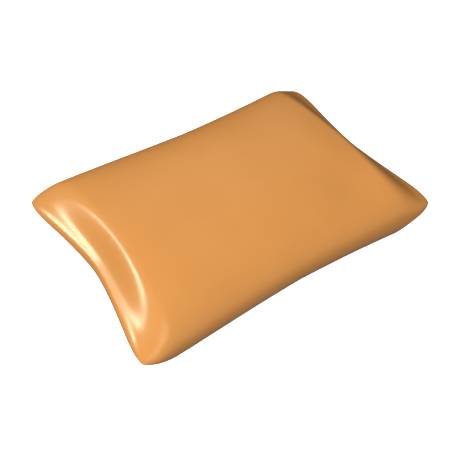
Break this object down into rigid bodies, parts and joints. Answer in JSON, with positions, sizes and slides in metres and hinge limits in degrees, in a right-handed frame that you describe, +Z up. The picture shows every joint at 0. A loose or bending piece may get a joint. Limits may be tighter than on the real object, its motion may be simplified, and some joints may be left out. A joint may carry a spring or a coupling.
{
  "type": "face cradle cushion",
  "caption": "Rectangular padded head cushion for a massage couch, with flared sewn ends, a zipped glossy wipe-clean cover and layered foam inside.",
  "frame": {"origin": "under the middle of the cushion, on the surface that it rests on", "axes": "+X along the length, +Y towards the long side with the zip, +Z up"},
  "size_m": [0.4089, 0.2914, 0.1047],
  "materials": {
    "vinyl": "gloss",
    "thread": "satin",
    "zip_tape": "matte",
    "zip_coil": "satin",
    "zip_metal": "satin",
    "bag_cloth": "matte",
    "wadding": "matte",
    "comfort_foam": "matte",
    "support_foam": "matte",
    "loop_tape": "matte"
  },
  "bodies": {
    "cushion": {"cover_wrap": "vinyl", "end_seam_left": "thread", "end_seam_right": "thread", "zip_tape_upper": "zip_tape", "zip_tape_lower": "zip_tape", "zip_coil_upper": "zip_coil", "zip_coil_lower": "zip_coil", "zip_top_stop_upper": "zip_metal", "zip_top_stop_lower": "zip_metal", "zip_bottom_stop": "zip_metal", "zip_topstitch_upper": "thread", "zip_topstitch_lower": "thread", "zip_bar_tack_left": "thread", "zip_bar_tack_right": "thread", "inner_bag_top": "bag_cloth", "inner_bag_bottom": "bag_cloth", "inner_bag_seam": "thread", "wadding_wrap": "wadding", "foam_comfort_layer": "comfort_foam", "foam_support_layer": "support_foam", "loop_strip_left": "loop_tape", "loop_strip_right": "loop_tape", "loop_strip_stitching_left": "thread", "loop_strip_stitching_right": "thread"},
    "zip_slider_body": {"zip_slider": "zip_metal"},
    "zip_pull_body": {"zip_pull": "zip_metal"}
  },
  "joints": [
    {"name": "zip_slide", "type": "slide", "parent": "cushion", "child": "zip_slider_body", "axis": [-1, 0, 0], "range_m": [0, 0.183]},
    {"name": "pull_swing", "type": "hinge", "parent": "zip_slider_body", "child": "zip_pull_body", "pos_m": [0.0915, 0.1343, 0.0585], "axis": [0, 0, -1], "range_deg": [0, 170]}
  ]
}
